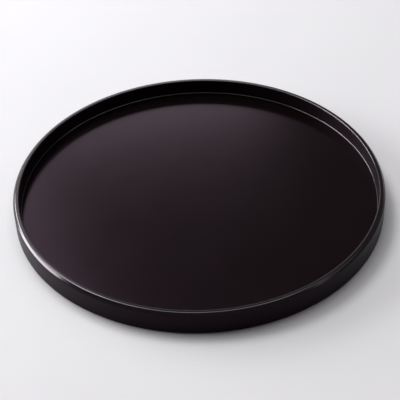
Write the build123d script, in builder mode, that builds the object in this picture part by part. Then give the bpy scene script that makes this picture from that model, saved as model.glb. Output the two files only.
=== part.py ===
from build123d import *

import math
import os

# Round lacquered serving tray of bent wood, lying flat on its foot.
# Frame: +Z up, the origin on the table under the tray's centre. Sizes are in millimetres.
#
# The wall is bent hoops glued face to face: a full-height outer hoop, lined by a well hoop above
# the floor and a foot hoop below it. The plywood floor sits in the groove between those two, and
# bamboo pegs hold it through the outer hoop. A bead of filler bevels the corner above the floor
# and the one below it, and lacquer covers everything.

# Finished tray, lacquer included
TRAY_RADIUS = 150.0
TRAY_HEIGHT = 20.0
WALL_THICKNESS = 5.0
FLOOR_TOP = 7.0
FLOOR_UNDERSIDE = 2.5

# Bevel round the outside of the lip, and the rounding of the bevel's two edges
LIP_BEVEL = 2.0
LIP_BEVEL_ROUNDING = 1.5

# Roundings of the finished surface
LIP_INNER_ROUNDING = 0.9
FOOT_OUTER_ROUNDING = 1.8
FOOT_INNER_ROUNDING = 0.8
CORNER_ROUNDING = 0.8

# Lacquer, and the bevel that the filler makes under it
LACQUER = 0.4
FILLER_BEVEL = 0.8

# Wall and floor stock
OUTER_HOOP_THICKNESS = 2.3
FACE_VENEER = 0.5
CROSSBAND = 0.85

# Lap joints of the hoops: each end is halved and lies on the other, over an arc in degrees
LAP_ARC = 12.0
GLUE_LINE = 0.1
OUTER_LAP_AZIMUTH = 90.0
WELL_LAP_AZIMUTH = 210.0
FOOT_LAP_AZIMUTH = 330.0

# Bamboo pegs, driven through the outer hoop into the edge of the floor
PEG_COUNT = 8
PEG_RADIUS = 0.8
PEG_LENGTH = 12.0
FIRST_PEG_AZIMUTH = 22.5

# How far a cutting shape runs on past what it cuts
OVERCUT = 1.0

# Sizes that follow from the ones above
well_radius = TRAY_RADIUS - WALL_THICKNESS
flat_floor_radius = well_radius - CORNER_ROUNDING
wood_radius = TRAY_RADIUS - LACQUER
wood_well_radius = well_radius + LACQUER
hoop_joint_radius = wood_radius - OUTER_HOOP_THICKNESS
floor_low = FLOOR_UNDERSIDE + LACQUER
floor_high = FLOOR_TOP - LACQUER
floor_middle = (floor_low + floor_high) / 2
core_low = floor_low + FACE_VENEER + CROSSBAND
core_high = floor_high - FACE_VENEER - CROSSBAND


def nearest_corner(section, radius, height):
    """The corner of a half section that is nearest to a radius and a height."""
    return section.vertices().sort_by_distance((radius, height))[0]


def tray_section(depth):
    """Half section of the tray, a given depth below its finished surface, as radius by height.

    The bevel moves inwards square to its own face, so it gets shorter with depth."""
    inner = well_radius + depth
    outer = TRAY_RADIUS - depth
    top = TRAY_HEIGHT - depth
    floor = FLOOR_TOP - depth
    underside = FLOOR_UNDERSIDE + depth
    with BuildSketch() as section:
        with BuildLine():
            Polyline(
                (0, underside),
                (inner, underside),
                (inner, depth),
                (outer, depth),
                (outer, top),
                (inner, top),
                (inner, floor),
                (0, floor),
                close=True,
            )
        make_face()
        bevel = LIP_BEVEL - depth * (2 - math.sqrt(2))
        chamfer(nearest_corner(section, outer, top), length=bevel)
        fillet(nearest_corner(section, outer - bevel, top), radius=LIP_BEVEL_ROUNDING - depth)
        fillet(nearest_corner(section, outer, top - bevel), radius=LIP_BEVEL_ROUNDING - depth)
        fillet(nearest_corner(section, inner, top), radius=LIP_INNER_ROUNDING - depth)
        fillet(nearest_corner(section, outer, depth), radius=FOOT_OUTER_ROUNDING - depth)
        fillet(nearest_corner(section, inner, depth), radius=FOOT_INNER_ROUNDING - depth)
    return section.sketch


def keep_zone(inner, outer, low, high):
    """Keeps the part of the current section between two radii and between two heights."""
    with Locations((inner, low)):
        Rectangle(outer - inner, high - low, align=(Align.MIN, Align.MIN), mode=Mode.INTERSECT)


def lap_cut(inner, outer, azimuth):
    """Parts the current hoop in a stepped lap: in through one half, along the middle, out."""
    middle = (inner + outer) / 2
    end = azimuth + LAP_ARC
    with BuildSketch() as slit:
        Circle(middle + GLUE_LINE / 2)
        Circle(middle - GLUE_LINE / 2, mode=Mode.SUBTRACT)
        with BuildLine():
            reach = Vector(2 * outer, 0)
            Polyline((0, 0), reach.rotate(Axis.Z, azimuth), reach.rotate(Axis.Z, end), close=True)
        make_face(mode=Mode.INTERSECT)
        for low, high, angle in ((inner - OVERCUT, middle, azimuth), (middle, outer + OVERCUT, end)):
            with PolarLocations(low, 1, start_angle=angle):
                Rectangle(high - low, GLUE_LINE, align=(Align.MIN, Align.CENTER))
    extrude(slit.sketch, amount=TRAY_HEIGHT, mode=Mode.SUBTRACT)


def peg_rods(mode):
    """Rods along the pegs, from their points in the floor out past the outer hoop."""
    with Locations((0, 0, floor_middle)):
        with PolarLocations(wood_radius - PEG_LENGTH, PEG_COUNT, start_angle=FIRST_PEG_AZIMUTH):
            Cylinder(
                PEG_RADIUS,
                PEG_LENGTH + OVERCUT,
                rotation=(0, 90, 0),
                align=(Align.CENTER, Align.CENTER, Align.MIN),
                mode=mode,
            )


# Finished surface, with the corners above and below the floor rounded
with BuildSketch() as surface:
    add(tray_section(0))
    fillet(nearest_corner(surface, well_radius, FLOOR_TOP), radius=CORNER_ROUNDING)
    fillet(nearest_corner(surface, well_radius, FLOOR_UNDERSIDE), radius=CORNER_ROUNDING)

# Wood under the lacquer, with the same corners bevelled by the filler
with BuildSketch() as wood:
    add(tray_section(LACQUER))
    chamfer(nearest_corner(wood, wood_well_radius, floor_high), length=FILLER_BEVEL)
    chamfer(nearest_corner(wood, wood_well_radius, floor_low), length=FILLER_BEVEL)

# Outer hoop: the full height of the wall
with BuildPart() as outer_hoop:
    with BuildSketch(Plane.XZ):
        add(wood.sketch)
        keep_zone(hoop_joint_radius, TRAY_RADIUS, 0, TRAY_HEIGHT)
    revolve(axis=Axis.Z)
    lap_cut(hoop_joint_radius, wood_radius, OUTER_LAP_AZIMUTH)
    peg_rods(Mode.SUBTRACT)

# Well hoop: lines the wall above the floor
with BuildPart() as well_hoop:
    with BuildSketch(Plane.XZ):
        add(wood.sketch)
        keep_zone(wood_well_radius, hoop_joint_radius, floor_high, TRAY_HEIGHT)
    revolve(axis=Axis.Z)
    lap_cut(wood_well_radius, hoop_joint_radius, WELL_LAP_AZIMUTH)

# Foot hoop: lines the wall below the floor and carries the floor
with BuildPart() as foot_hoop:
    with BuildSketch(Plane.XZ):
        add(wood.sketch)
        keep_zone(wood_well_radius, hoop_joint_radius, 0, floor_low)
    revolve(axis=Axis.Z)
    lap_cut(wood_well_radius, hoop_joint_radius, FOOT_LAP_AZIMUTH)

# Plywood floor, five plies: two face veneers, two crossbands and the core
with BuildPart() as floor_top_veneer:
    with BuildSketch(Plane.XY.offset(floor_high - FACE_VENEER)):
        Circle(hoop_joint_radius)
    extrude(amount=FACE_VENEER)

with BuildPart() as floor_upper_crossband:
    with BuildSketch(Plane.XY.offset(core_high)):
        Circle(hoop_joint_radius)
    extrude(amount=CROSSBAND)
    peg_rods(Mode.SUBTRACT)

with BuildPart() as floor_core:
    with BuildSketch(Plane.XY.offset(core_low)):
        Circle(hoop_joint_radius)
    extrude(amount=core_high - core_low)
    peg_rods(Mode.SUBTRACT)

with BuildPart() as floor_lower_crossband:
    with BuildSketch(Plane.XY.offset(core_low - CROSSBAND)):
        Circle(hoop_joint_radius)
    extrude(amount=CROSSBAND)
    peg_rods(Mode.SUBTRACT)

with BuildPart() as floor_bottom_veneer:
    with BuildSketch(Plane.XY.offset(floor_low)):
        Circle(hoop_joint_radius)
    extrude(amount=FACE_VENEER)

# Pegs, trimmed flush with the outer hoop
with BuildPart() as floor_pegs:
    peg_rods(Mode.ADD)
    with BuildSketch():
        Circle(wood_radius)
    extrude(amount=TRAY_HEIGHT, mode=Mode.INTERSECT)

# Filler beads in the corner above the floor and in the one below it
with BuildPart() as well_filler:
    with BuildSketch(Plane.XZ):
        add(wood.sketch)
        keep_zone(0, wood_well_radius, floor_high, TRAY_HEIGHT)
    revolve(axis=Axis.Z)

with BuildPart() as recess_filler:
    with BuildSketch(Plane.XZ):
        add(wood.sketch)
        keep_zone(0, wood_well_radius, 0, floor_low)
    revolve(axis=Axis.Z)

# Lacquer on the tray floor, right round the wall, and on the underside
with BuildPart() as floor_lacquer:
    with BuildSketch(Plane.XZ):
        add(surface.sketch)
        keep_zone(0, flat_floor_radius, floor_high, FLOOR_TOP)
    revolve(axis=Axis.Z)

with BuildPart() as wall_lacquer:
    with BuildSketch(Plane.XZ):
        add(surface.sketch)
        add(wood.sketch, mode=Mode.SUBTRACT)
        keep_zone(flat_floor_radius, TRAY_RADIUS, 0, TRAY_HEIGHT)
    revolve(axis=Axis.Z)

with BuildPart() as underside_lacquer:
    with BuildSketch(Plane.XZ):
        add(surface.sketch)
        keep_zone(0, flat_floor_radius, FLOOR_UNDERSIDE, floor_low)
    revolve(axis=Axis.Z)

pieces = {
    "outer_hoop": outer_hoop,
    "well_hoop": well_hoop,
    "foot_hoop": foot_hoop,
    "floor_top_veneer": floor_top_veneer,
    "floor_upper_crossband": floor_upper_crossband,
    "floor_core": floor_core,
    "floor_lower_crossband": floor_lower_crossband,
    "floor_bottom_veneer": floor_bottom_veneer,
    "floor_pegs": floor_pegs,
    "well_filler": well_filler,
    "recess_filler": recess_filler,
    "floor_lacquer": floor_lacquer,
    "wall_lacquer": wall_lacquer,
    "underside_lacquer": underside_lacquer,
}
os.makedirs("parts", exist_ok=True)
for node, piece in pieces.items():
    piece.part.label = node
    export_step(piece.part, f"parts/{node}.step")
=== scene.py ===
import math

import bpy
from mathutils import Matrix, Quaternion, Vector


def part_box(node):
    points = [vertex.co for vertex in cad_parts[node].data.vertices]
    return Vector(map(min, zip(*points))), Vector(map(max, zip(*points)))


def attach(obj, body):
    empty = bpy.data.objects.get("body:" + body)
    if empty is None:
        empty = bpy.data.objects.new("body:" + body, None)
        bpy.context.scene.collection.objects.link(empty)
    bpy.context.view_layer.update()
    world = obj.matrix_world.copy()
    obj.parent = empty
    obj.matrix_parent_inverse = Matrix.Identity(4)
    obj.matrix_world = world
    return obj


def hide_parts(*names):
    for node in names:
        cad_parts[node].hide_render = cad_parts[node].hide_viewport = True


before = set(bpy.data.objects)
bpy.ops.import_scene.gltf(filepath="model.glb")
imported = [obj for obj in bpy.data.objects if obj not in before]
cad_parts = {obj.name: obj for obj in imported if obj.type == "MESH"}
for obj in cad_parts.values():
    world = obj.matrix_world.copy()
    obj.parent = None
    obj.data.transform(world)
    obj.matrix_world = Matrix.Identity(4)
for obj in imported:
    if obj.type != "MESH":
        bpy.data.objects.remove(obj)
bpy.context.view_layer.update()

# Looks of the round lacquered serving tray. Metres, +Z up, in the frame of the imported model.
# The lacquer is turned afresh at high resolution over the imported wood, so that it takes smooth
# reflections. The hoops, plies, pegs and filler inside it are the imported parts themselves.

# Roundings of the finished surface. The lip's bevel is as wide as it is high, which puts it
# at 45 degrees.
LIP_BEVEL = 0.0020
LIP_BEVEL_ROUNDING = 0.0015
LIP_BEVEL_ANGLE = 45
LIP_INNER_ROUNDING = 0.0009
FOOT_OUTER_ROUNDING = 0.0018
FOOT_INNER_ROUNDING = 0.0008
CORNER_ROUNDING = 0.0008

# Resolution of the turned surfaces. The skin that lies on the wood is hidden, and coarser.
TURN_STEPS = 512
ARC_STEPS = 12
HIDDEN_ARC_STEPS = 4
FLOOR_RINGS = 24

# How far beside the roundings the extra rings lie, which keep the flat faces flat
EDGE_LOOP = 0.00025

# Edges that turn by more than this many degrees stay sharp
SHARP_ANGLE = 35

# On the wall piece, faces within this many degrees of upright take the wall's finish, and the
# rest take the lip's
UPRIGHT_WITHIN = 22

# Lacquer: scales are in features per metre and heights in metres. The clouds are lighter by a
# factor, and the patches and the rubbing marks change the roughness.
CLOUD_SCALE = 22
CLOUD_LIFT = 1.3
PATCH_SCALE = 45
PATCH_ROUGHNESS = 0.008
MARK_SCALE = 900
MARK_STRETCH = 0.04
MARK_STARTS = 0.66
MARK_FULL = 0.74
MARK_ROUGHNESS = 0.015
WAVE_SCALE = 30
WAVE_HEIGHT = 0.000006
PEEL_SCALE = 420
PEEL_HEIGHT = 0.000002
GRAIN_SCALE = 5200

# Dust: cells per metre, the share of them that hold a speck, and how far from its middle the
# speck starts and stops fading, with the width of a cell as 1
DUST_CELLS = 70
DUST_SHARE = 0.03
DUST_CORE = 0.020
DUST_EDGE = 0.032
DUST_COLOUR = (0.16, 0.14, 0.14)

# Rubbing of the wall: how strongly it draws reflections out, and a quarter turn, which makes
# that up and down
RUB_STRENGTH = 0.85
RUB_TURN = 0.25

# Wood: where the rings' noise is pale and where it is dark. The pores run along the grain like
# the rings, many times finer, and show where their own noise is high.
RING_PALE = 0.35
RING_DARK = 0.65
PORE_FINENESS = 9
PORE_STARTS = 0.58
PORE_FULL = 0.72
PORE_STRENGTH = 0.6
PORE_SHADE = 0.45
PORE_ROUGHNESS = 0.2
PORE_DEPTH = 0.00003

# Filler: its grit, and the colours and roughness between which the grit varies
GRIT_SCALE = 2600
GRIT_HEIGHT = 0.00004
GRIT_DARK = (0.060, 0.028, 0.016)
GRIT_PALE = (0.145, 0.080, 0.045)
GRIT_SMOOTH = 0.6
GRIT_ROUGH = 0.85

# Table top: a mid grey that strong light makes pale
MOTTLE_SCALE = 9
MOTTLE_DARK = (0.41, 0.41, 0.42)
MOTTLE_PALE = (0.43, 0.43, 0.438)
SHEEN_SCALE = 60
SHEEN_SMOOTH = 0.55
SHEEN_ROUGH = 0.62
TABLE_SPECULAR = 0.2

# Noise keeps mostly within these values
NOISE_LOW = 0.3
NOISE_HIGH = 0.7

# Stage. The softboxes stand on a sphere about the tray, and the window's mirror image just
# inside it.
TABLE_SIZE = 12.0
SOFTBOX_DISTANCE = 2.5
WINDOW_AZIMUTH = 159
WINDOW_ELEVATION = 18
WINDOW_RADIANCE = 16.5
WINDOW_IMAGE_DISTANCE = 2.45

# Camera: from the front and above, aimed close to the middle of the tray. The lens and the
# sensor are in millimetres, and the angles in degrees.
CAMERA_ELEVATION = 39.99
CAMERA_DISTANCE = 0.9652
CAMERA_LENS = 105.88
CAMERA_SENSOR = 36
CAMERA_ROLL = -1.995
AIM = Vector((0.00051, 0.00103, 0.0))


# ---------------------------------------------------------------- sizes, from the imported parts

wall_low, wall_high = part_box("wall_lacquer")
floor_low, floor_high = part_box("floor_lacquer")
under_low, under_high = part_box("underside_lacquer")

outer_radius = min(wall_high.x, wall_high.y, -wall_low.x, -wall_low.y)
tray_height = wall_high.z
floor_top = floor_high.z
floor_underside = under_low.z
lacquer = floor_high.z - floor_low.z
flat_floor_radius = min(floor_high.x, floor_high.y)
well_radius = flat_floor_radius + CORNER_ROUNDING


# ---------------------------------------------------------------- turned meshes


def arc(centre, radius, start, end, steps):
    """Points of a circular arc, as (radius from the tray's axis, height). Angles in degrees."""
    points = []
    for step in range(steps + 1):
        angle = math.radians(start + (end - start) * step / steps)
        points.append((centre[0] + radius * math.cos(angle), centre[1] + radius * math.sin(angle)))
    return points


def wall_skin(depth, steps):
    """Half of the wall's outline, a depth below its finished surface, from the floor corner
    up the inner wall, over the lip, down the outer wall, round the foot to the recess corner."""
    inner = well_radius + depth
    outer = outer_radius - depth
    top = tray_height - depth
    bottom = depth
    floor = floor_top - depth
    underside = floor_underside + depth
    lip_in = LIP_INNER_ROUNDING - depth
    lip_out = LIP_BEVEL_ROUNDING - depth
    foot_out = FOOT_OUTER_ROUNDING - depth
    foot_in = FOOT_INNER_ROUNDING - depth
    corner = CORNER_ROUNDING + depth

    # Each of the bevel's two roundings has the same centre at every depth
    lip_reach = LIP_BEVEL + LIP_BEVEL_ROUNDING * math.tan(math.radians(LIP_BEVEL_ANGLE / 2))
    upper_centre = (outer_radius - lip_reach, tray_height - LIP_BEVEL_ROUNDING)
    lower_centre = (outer_radius - LIP_BEVEL_ROUNDING, tray_height - lip_reach)

    outline = arc((inner - corner, floor + corner), corner, -90, 0, steps)
    outline += [(inner, floor + corner + EDGE_LOOP), (inner, top - lip_in - EDGE_LOOP)]
    outline += arc((inner + lip_in, top - lip_in), lip_in, 180, 90, steps)
    outline += [(inner + lip_in + EDGE_LOOP, top), (upper_centre[0] - EDGE_LOOP, top)]
    outline += arc(upper_centre, lip_out, 90, LIP_BEVEL_ANGLE, steps)
    outline += arc(lower_centre, lip_out, LIP_BEVEL_ANGLE, 0, steps)
    outline += [(outer, lower_centre[1] - EDGE_LOOP), (outer, bottom + foot_out + EDGE_LOOP)]
    outline += arc((outer - foot_out, bottom + foot_out), foot_out, 0, -90, steps)
    outline += [(outer - foot_out - EDGE_LOOP, bottom), (inner + foot_in + EDGE_LOOP, bottom)]
    outline += arc((inner + foot_in, bottom + foot_in), foot_in, -90, -180, steps)
    outline += arc((inner - corner, underside - corner), corner, 0, 90, steps)
    return outline


def disc_outline(low, high, radius):
    """A disc's outline from the axis out over its top and back under it, in even rings."""
    radii = [radius * ring / FLOOR_RINGS for ring in range(FLOOR_RINGS + 1)]
    return [(r, high) for r in radii] + [(r, low) for r in reversed(radii)]


def add_ring(verts, radius, height):
    """Adds a ring of points and returns their numbers, one for each turning step. On the axis
    all the steps share one point."""
    first = len(verts)
    if radius == 0:
        verts.append((0, 0, height))
        return [first] * TURN_STEPS
    for step in range(TURN_STEPS):
        angle = 2 * math.pi * step / TURN_STEPS
        verts.append((radius * math.cos(angle), radius * math.sin(angle), height))
    return [first + step for step in range(TURN_STEPS)]


def band_faces(here, there):
    """Faces between two rings. A face that touches the axis drops its doubled corner."""
    faces = []
    for step in range(TURN_STEPS):
        after = (step + 1) % TURN_STEPS
        corners = (here[step], there[step], there[after], here[after])
        faces.append(tuple(dict.fromkeys(corners)))
    return faces


def turned(name, outline, closed):
    """A mesh turned about the tray's axis from an outline. A closed outline makes a ring, and an
    open one, which starts and ends on the axis, makes a solid disc."""
    verts = []
    rings = [add_ring(verts, radius, height) for radius, height in outline]
    pairs = list(zip(rings, rings[1:]))
    if closed:
        pairs.append((rings[-1], rings[0]))
    faces = []
    for here, there in pairs:
        faces += band_faces(here, there)

    mesh = bpy.data.meshes.new(name)
    mesh.from_pydata(verts, [], faces)
    mesh.validate()
    mesh.shade_smooth()
    mesh.set_sharp_from_angle(angle=math.radians(SHARP_ANGLE))
    piece = bpy.data.objects.new(name, mesh)
    bpy.context.scene.collection.objects.link(piece)
    normals = piece.modifiers.new("face_area_normals", "WEIGHTED_NORMAL")
    normals.keep_sharp = True
    return piece


# ---------------------------------------------------------------- materials


class Nodes:
    """A new material's node tree, with short calls for the nodes used here."""

    # The Mix node has sockets for every kind of data. These are its colours.
    MIX_FIRST = 6
    MIX_SECOND = 7
    MIX_RESULT = 2

    def __init__(self, name):
        self.material = bpy.data.materials.new(name)
        self.material.use_nodes = True
        self.tree = self.material.node_tree
        self.shader = self.tree.nodes["Principled BSDF"]
        self.place = self.add("ShaderNodeTexCoord").outputs["Object"]

    def add(self, kind, **settings):
        node = self.tree.nodes.new(kind)
        for key, value in settings.items():
            setattr(node, key, value)
        return node

    def link(self, source, target):
        self.tree.links.new(source, target)

    def scaled(self, scale):
        """Object coordinates, stretched by a factor along each axis."""
        mapping = self.add("ShaderNodeMapping")
        mapping.inputs["Scale"].default_value = scale
        self.link(self.place, mapping.inputs["Vector"])
        return mapping.outputs["Vector"]

    def noise(self, scale, detail, stretch=(1, 1, 1)):
        node = self.add("ShaderNodeTexNoise")
        node.inputs["Scale"].default_value = scale
        node.inputs["Detail"].default_value = detail
        self.link(self.scaled(stretch), node.inputs["Vector"])
        return node.outputs["Fac"]

    def remap(self, value, low, high, to_low, to_high):
        """A value carried from one range to another, and held at the new range's ends."""
        node = self.add("ShaderNodeMapRange")
        limits = {"From Min": low, "From Max": high, "To Min": to_low, "To Max": to_high}
        for key, number in limits.items():
            node.inputs[key].default_value = number
        self.link(value, node.inputs["Value"])
        return node.outputs["Result"]

    def maths(self, operation, a, b):
        node = self.add("ShaderNodeMath", operation=operation)
        for socket, value in zip(node.inputs, (a, b)):
            if isinstance(value, (int, float)):
                socket.default_value = value
            else:
                self.link(value, socket)
        return node.outputs["Value"]

    def mix(self, factor, a, b):
        node = self.add("ShaderNodeMix", data_type="RGBA")
        self.link(factor, node.inputs["Factor"])
        for index, value in ((self.MIX_FIRST, a), (self.MIX_SECOND, b)):
            if isinstance(value, tuple):
                node.inputs[index].default_value = (*value, 1)
            else:
                self.link(value, node.inputs[index])
        return node.outputs[self.MIX_RESULT]

    def bump(self, height, distance, below=None):
        """Bump from a height of 0 to 1, where 1 stands a distance in metres proud."""
        node = self.add("ShaderNodeBump")
        node.inputs["Strength"].default_value = 1.0
        node.inputs["Distance"].default_value = distance
        self.link(height, node.inputs["Height"])
        if below is not None:
            self.link(below, node.inputs["Normal"])
        return node.outputs["Normal"]


def shaded(colour, factor):
    """A colour made lighter or darker by a factor."""
    return tuple(channel * factor for channel in colour)


def dust(n):
    """Dust caught in the last coat: 1 on rare specks less than a millimetre across, 0 elsewhere."""
    cells = n.add("ShaderNodeTexVoronoi", feature="F1")
    cells.inputs["Scale"].default_value = DUST_CELLS
    n.link(n.place, cells.inputs["Vector"])
    speck = n.remap(cells.outputs["Distance"], DUST_CORE, DUST_EDGE, 1, 0)
    lot = n.add("ShaderNodeSeparateColor")
    n.link(cells.outputs["Color"], lot.inputs["Color"])
    chosen = n.maths("GREATER_THAN", lot.outputs["Red"], 1 - DUST_SHARE)
    return n.maths("MULTIPLY", speck, chosen)


def lacquer_material(name, dark, roughness, specular, tint, grain):
    """Black lacquer with a brown-purple cast: faint cloudiness, a fine satin grain, the slow
    waviness of a rubbed surface, hairline rubbing marks and a few specks of dust."""
    n = Nodes(name)
    clouds = n.noise(CLOUD_SCALE, detail=3)
    cloud = n.remap(clouds, NOISE_LOW, NOISE_HIGH, 0, 1)
    base = n.mix(cloud, dark, shaded(dark, CLOUD_LIFT))
    n.link(n.mix(dust(n), base, DUST_COLOUR), n.shader.inputs["Base Color"])

    # Satin: cloudy patches and hairline marks change the roughness a little
    patch_noise = n.noise(PATCH_SCALE, detail=4)
    patches = n.remap(patch_noise, NOISE_LOW, NOISE_HIGH, -PATCH_ROUGHNESS, PATCH_ROUGHNESS)
    hairlines = n.noise(MARK_SCALE, detail=2, stretch=(MARK_STRETCH, 1, 1))
    marks = n.remap(hairlines, MARK_STARTS, MARK_FULL, 0, MARK_ROUGHNESS)
    varied = n.maths("ADD", patches, marks)
    n.link(n.maths("ADD", varied, roughness), n.shader.inputs["Roughness"])
    n.shader.inputs["Specular IOR Level"].default_value = specular
    n.shader.inputs["Specular Tint"].default_value = (*tint, 1)

    # Slow waviness, orange peel and fine grain
    waves = n.bump(n.noise(WAVE_SCALE, detail=1), WAVE_HEIGHT)
    peel = n.bump(n.noise(PEEL_SCALE, detail=2), PEEL_HEIGHT, waves)
    fine = n.bump(n.noise(GRAIN_SCALE, detail=1), grain, peel)
    n.link(fine, n.shader.inputs["Normal"])
    return n.material


def rub_round(material):
    """Makes a finish look rubbed round the tray, which draws its reflections up and down."""
    nodes = material.node_tree.nodes
    shader = nodes["Principled BSDF"]
    shader.inputs["Anisotropic"].default_value = RUB_STRENGTH
    shader.inputs["Anisotropic Rotation"].default_value = RUB_TURN
    tangent = nodes.new("ShaderNodeTangent")
    tangent.direction_type = "RADIAL"
    tangent.axis = "Z"
    material.node_tree.links.new(tangent.outputs["Tangent"], shader.inputs["Tangent"])


def wood_material(name, pale, dark, stretch, ring_scale, roughness=0.55):
    """Planed wood: growth rings drawn out along the grain, pores and a fuzzy satin surface."""
    n = Nodes(name)
    rings = n.noise(ring_scale, detail=4, stretch=stretch)
    figure = n.remap(rings, RING_PALE, RING_DARK, 0, 1)
    pore_noise = n.noise(ring_scale * PORE_FINENESS, detail=3, stretch=stretch)
    pores = n.remap(pore_noise, PORE_STARTS, PORE_FULL, 0, PORE_STRENGTH)
    tone = n.mix(figure, pale, dark)
    n.link(n.mix(pores, tone, shaded(dark, PORE_SHADE)), n.shader.inputs["Base Color"])
    rough = n.remap(pores, 0, PORE_STRENGTH, roughness, roughness + PORE_ROUGHNESS)
    n.link(rough, n.shader.inputs["Roughness"])
    n.link(n.bump(pores, -PORE_DEPTH), n.shader.inputs["Normal"])
    return n.material


def filler_material():
    """Lacquer and wood-flour paste: dark brown, gritty, smoothed with a spatula."""
    n = Nodes("wood_filler")
    grit = n.noise(GRIT_SCALE, detail=4)
    n.link(n.mix(grit, GRIT_DARK, GRIT_PALE), n.shader.inputs["Base Color"])
    rough = n.remap(grit, NOISE_LOW, NOISE_HIGH, GRIT_SMOOTH, GRIT_ROUGH)
    n.link(rough, n.shader.inputs["Roughness"])
    n.link(n.bump(grit, GRIT_HEIGHT), n.shader.inputs["Normal"])
    return n.material


def table_material():
    """Matt table top with the faintest mottling."""
    n = Nodes("table_top")
    mottle = n.noise(MOTTLE_SCALE, detail=3)
    n.link(n.mix(mottle, MOTTLE_DARK, MOTTLE_PALE), n.shader.inputs["Base Color"])
    sheen = n.noise(SHEEN_SCALE, detail=2)
    rough = n.remap(sheen, NOISE_LOW, NOISE_HIGH, SHEEN_SMOOTH, SHEEN_ROUGH)
    n.link(rough, n.shader.inputs["Roughness"])
    n.shader.inputs["Specular IOR Level"].default_value = TABLE_SPECULAR
    return n.material


# ---------------------------------------------------------------- the tray


def finish_piece(piece, material, node):
    """Gives a turned piece its material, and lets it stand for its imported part."""
    piece.data.materials.append(material)
    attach(piece, "root")
    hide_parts(node)


def finish_upright_faces(piece, material):
    """Gives a piece a second material, on the faces that stand upright or nearly so."""
    piece.data.materials.append(material)
    for face in piece.data.polygons:
        if abs(face.normal.z) < math.sin(math.radians(UPRIGHT_WITHIN)):
            face.material_index = 1


lip_finish = lacquer_material(
    "lip_lacquer",
    dark=(0.0022, 0.0015, 0.0015),
    roughness=0.16,
    specular=0.42,
    tint=(1.0, 0.92, 1.0),
    grain=0.0000006,
)
wall_finish = lacquer_material(
    "wall_lacquer",
    dark=(0.0028, 0.0018, 0.0018),
    roughness=0.34,
    specular=0.11,
    tint=(1.0, 0.50, 0.95),
    grain=0.0000006,
)
rub_round(wall_finish)
floor_finish = lacquer_material(
    "floor_lacquer",
    dark=(0.0013, 0.0008, 0.0007),
    roughness=0.19,
    specular=0.19,
    tint=(1.0, 0.57, 0.86),
    grain=0.0000010,
)
underside_finish = lacquer_material(
    "underside_lacquer",
    dark=(0.0060, 0.0040, 0.0040),
    roughness=0.50,
    specular=0.30,
    tint=(1.0, 0.80, 0.95),
    grain=0.0000030,
)

wall_outline = wall_skin(0, ARC_STEPS) + wall_skin(lacquer, HIDDEN_ARC_STEPS)[::-1]
wall = turned("lacquered_wall", wall_outline, closed=True)
finish_piece(wall, lip_finish, node="wall_lacquer")
finish_upright_faces(wall, wall_finish)

floor_outline = disc_outline(floor_low.z, floor_high.z, flat_floor_radius)
floor = turned("lacquered_floor", floor_outline, closed=False)
finish_piece(floor, floor_finish, node="floor_lacquer")

underside_outline = disc_outline(under_low.z, under_high.z, flat_floor_radius)
underside = turned("lacquered_underside", underside_outline, closed=False)
finish_piece(underside, underside_finish, node="underside_lacquer")

cypress = wood_material(
    "bent_cypress",
    pale=(0.52, 0.33, 0.17),
    dark=(0.38, 0.21, 0.10),
    stretch=(1, 1, 9),
    ring_scale=60,
)
basswood = wood_material(
    "basswood_veneer",
    pale=(0.56, 0.41, 0.24),
    dark=(0.46, 0.31, 0.17),
    stretch=(1, 7, 1),
    ring_scale=26,
)
crossband = wood_material(
    "basswood_crossband",
    pale=(0.44, 0.29, 0.16),
    dark=(0.34, 0.21, 0.11),
    stretch=(7, 1, 1),
    ring_scale=26,
)
bamboo = wood_material(
    "split_bamboo",
    pale=(0.56, 0.42, 0.17),
    dark=(0.43, 0.30, 0.12),
    stretch=(1, 1, 1),
    ring_scale=700,
    roughness=0.45,
)
paste = filler_material()

inner_finishes = {
    "outer_hoop": cypress,
    "well_hoop": cypress,
    "foot_hoop": cypress,
    "floor_top_veneer": basswood,
    "floor_upper_crossband": crossband,
    "floor_core": basswood,
    "floor_lower_crossband": crossband,
    "floor_bottom_veneer": basswood,
    "floor_pegs": bamboo,
    "well_filler": paste,
    "recess_filler": paste,
}
for node, material in inner_finishes.items():
    for material_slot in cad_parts[node].material_slots:
        material_slot.material = material


# ---------------------------------------------------------------- stage, lights and camera


def make_table():
    """A wide table top under the tray."""
    half = TABLE_SIZE / 2
    corners = [(-half, -half, 0), (half, -half, 0), (half, half, 0), (-half, half, 0)]
    mesh = bpy.data.meshes.new("table")
    mesh.from_pydata(corners, [], [(0, 1, 2, 3)])
    table = bpy.data.objects.new("table", mesh)
    bpy.context.scene.collection.objects.link(table)
    table.data.materials.append(table_material())


def softbox(
    name,
    azimuth,
    elevation,
    width,
    height,
    radiance,
    colour=(1, 1, 1),
    distance=SOFTBOX_DISTANCE,
):
    """A rectangular light aimed at the tray. Azimuth 0 is to the right and 90 to the back."""
    light = bpy.data.lights.new(name, "AREA")
    light.shape = "RECTANGLE"
    light.size = width
    light.size_y = height
    light.energy = radiance * math.pi * width * height
    light.color = colour
    holder = bpy.data.objects.new(name, light)
    bpy.context.scene.collection.objects.link(holder)
    turn = math.radians(azimuth)
    tilt = math.radians(elevation)
    level = math.cos(tilt)
    away = Vector((math.cos(turn) * level, math.sin(turn) * level, math.sin(tilt)))
    holder.location = away * distance
    holder.rotation_euler = away.to_track_quat("Z", "Y").to_euler()
    return holder


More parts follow.
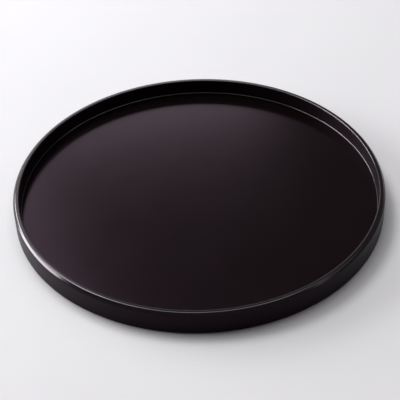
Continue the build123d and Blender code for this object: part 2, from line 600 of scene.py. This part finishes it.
def make_window(mirror):
    """The main light, in two softboxes. One lights everything and has no mirror image. The other is
    only seen mirrored in one piece: in the tray's floor it would glare, in a low view from the
    right. In one plane with the first it does not show, so it stands just in front and is a little
    smaller."""
    window = softbox(
        "window",
        WINDOW_AZIMUTH,
        WINDOW_ELEVATION,
        width=2.3,
        height=1.0,
        radiance=WINDOW_RADIANCE,
    )
    window.visible_glossy = False
    image = softbox(
        "window_image",
        WINDOW_AZIMUTH,
        WINDOW_ELEVATION,
        width=2.25,
        height=0.98,
        radiance=WINDOW_RADIANCE,
        distance=WINDOW_IMAGE_DISTANCE,
    )
    image.visible_diffuse = False
    mirrored_in = bpy.data.collections.new("mirrored_in")
    mirrored_in.objects.link(mirror)
    image.light_linking.receiver_collection = mirrored_in


def make_world(colour, strength):
    world = bpy.data.worlds.new("studio")
    world.use_nodes = True
    background = world.node_tree.nodes["Background"]
    background.inputs["Color"].default_value = (*colour, 1)
    background.inputs["Strength"].default_value = strength
    bpy.context.scene.world = world


def make_camera():
    camera = bpy.data.objects.new("camera", bpy.data.cameras.new("camera"))
    bpy.context.scene.collection.objects.link(camera)
    camera.data.lens = CAMERA_LENS
    camera.data.sensor_width = CAMERA_SENSOR
    tilt = math.radians(CAMERA_ELEVATION)
    camera.location = Vector((0, -math.cos(tilt), math.sin(tilt))) * CAMERA_DISTANCE
    aim = (AIM - camera.location).to_track_quat("-Z", "Y")
    roll = Quaternion(Vector((0, 0, 1)), math.radians(CAMERA_ROLL))
    camera.rotation_mode = "QUATERNION"
    camera.rotation_quaternion = aim @ roll
    bpy.context.scene.camera = camera


make_table()
make_window(wall)
softbox("boom", 134, 56, width=1.2, height=0.8, radiance=15.0)
softbox("backdrop", 102, 27, width=1.35, height=0.75, radiance=2.85, colour=(1.0, 0.90, 1.0))
softbox("side_panel", 121, 42, width=1.2, height=1.0, radiance=1.8, colour=(1.0, 0.92, 1.0))
softbox("ceiling", 90, 78, width=2.1, height=1.35, radiance=4.2)
softbox("right_fill", 355, 37, width=1.4, height=0.6, radiance=1.3)
make_world(colour=(1.0, 0.90, 0.98), strength=0.17)
make_camera()
bpy.context.scene.view_settings.view_transform = "Standard"
